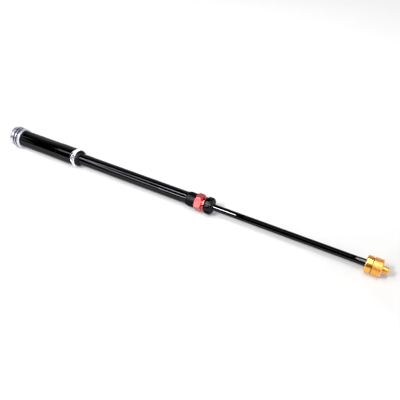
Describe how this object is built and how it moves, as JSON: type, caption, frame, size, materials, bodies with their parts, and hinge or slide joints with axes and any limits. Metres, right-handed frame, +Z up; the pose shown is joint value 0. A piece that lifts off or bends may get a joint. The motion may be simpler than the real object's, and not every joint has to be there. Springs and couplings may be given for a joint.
{
  "type": "telescopic damper cartridge",
  "caption": "Slim telescopic damper cartridge: capped pressure barrel, hexagonal coupling, oil tube, seal head and a sprung hollow rod with a threaded foot, adjustable at both ends.",
  "frame": {"origin": "centre of the cap's outer face", "axes": "+X along the rod, from the cap towards the foot; +Z up when it lies on a bench"},
  "size_m": [0.652, 0.035, 0.035],
  "materials": {
    "polished_aluminium": "polished",
    "o_ring_rubber": "satin",
    "black_anodised": "gloss black hard anodising",
    "black_nut": "satin black anodising",
    "red_anodised": "red anodising",
    "black_rod": "gloss black coating",
    "gold_anodised": "gold anodising",
    "copper": "dull copper",
    "brass": "turned",
    "steel": "ground",
    "spring_steel": "oiled",
    "valve_aluminium": "turned",
    "bearing_band": "bronze filled"
  },
  "bodies": {
    "cartridge": {"top_cap": "polished_aluminium", "cap_o_ring_1": "o_ring_rubber", "cap_o_ring_2": "o_ring_rubber", "cap_spigot_o_ring": "o_ring_rubber", "base_shaft": "steel", "base_valve_shims": "steel", "base_valve_piston": "valve_aluminium", "base_valve_nut": "steel", "reservoir_barrel": "black_anodised", "barrel_end_collar": "black_anodised", "collar_o_ring": "o_ring_rubber", "hex_coupling": "polished_aluminium", "reducer_cone": "black_anodised", "damper_tube": "black_anodised", "jam_ring": "black_nut", "lock_ring": "black_nut", "seal_head": "red_anodised", "seal_head_o_ring": "o_ring_rubber", "rod_bush": "brass", "rod_seal": "o_ring_rubber", "gland_nut": "black_nut", "dust_wiper": "o_ring_rubber", "pressure_spring": "spring_steel"},
    "piston_ring": {"piston_band": "bearing_band"},
    "rod": {"damper_rod": "black_rod", "piston_post": "steel", "piston_nut": "steel", "compression_shims": "steel", "main_piston": "valve_aluminium", "rebound_shims": "steel", "top_out_plate": "steel", "top_out_spring": "spring_steel", "rod_ferrule": "black_rod", "foot_lock_nut": "gold_anodised", "crush_washer": "copper", "foot_bolt": "gold_anodised"},
    "check_plate": {"base_check_plate": "steel"},
    "free_piston": {"free_piston": "valve_aluminium", "free_piston_band": "bearing_band", "free_piston_seal": "o_ring_rubber", "free_piston_inner_seal": "o_ring_rubber"},
    "compression_dial": {"compression_dial": "brass"},
    "compression_needle": {"compression_needle": "steel"},
    "rebound_screw": {"rebound_screw": "brass"},
    "rebound_needle": {"rebound_needle": "steel"}
  },
  "joints": [
    {"name": "rod_slide", "type": "slide", "parent": "cartridge", "child": "piston_ring", "axis": [-1, 0, 0], "range_m": [0, 0.18], "stiffness_N_per_m": 55, "springref_m": -0.345},
    {"name": "rod_swivel", "type": "hinge", "parent": "piston_ring", "child": "rod", "pos_m": [0.3275, 0, 0], "axis": [1, 0, 0], "continuous": true},
    {"name": "free_piston_slide", "type": "slide", "parent": "cartridge", "child": "free_piston", "axis": [-1, 0, 0], "range_m": [0, 0.034], "deforming": ["pressure_spring"]},
    {"name": "compression_dial_turn", "type": "hinge", "parent": "cartridge", "child": "compression_dial", "pos_m": [0.0027, 0, 0], "axis": [1, 0, 0], "range_deg": [0, 720]},
    {"name": "compression_needle_slide", "type": "slide", "parent": "cartridge", "child": "compression_needle", "axis": [1, 0, 0], "range_m": [0, 0.001]},
    {"name": "rebound_screw_turn", "type": "hinge", "parent": "rod", "child": "rebound_screw", "pos_m": [0.6485, 0, 0], "axis": [1, 0, 0], "range_deg": [0, 720]},
    {"name": "rebound_needle_slide", "type": "slide", "parent": "rod", "child": "rebound_needle", "axis": [-1, 0, 0], "range_m": [0, 0.001]},
    {"name": "check_plate_lift", "type": "slide", "parent": "cartridge", "child": "check_plate", "axis": [1, 0, 0], "range_m": [0, 0.0008]}
  ],
  "couplings": [
    {"joint": "free_piston_slide", "follows": "rod_slide", "ratio": 0.1882},
    {"joint": "compression_dial_turn", "follows": "compression_needle_slide", "rad_per_m": 12566},
    {"joint": "rebound_screw_turn", "follows": "rebound_needle_slide", "rad_per_m": 12566}
  ]
}
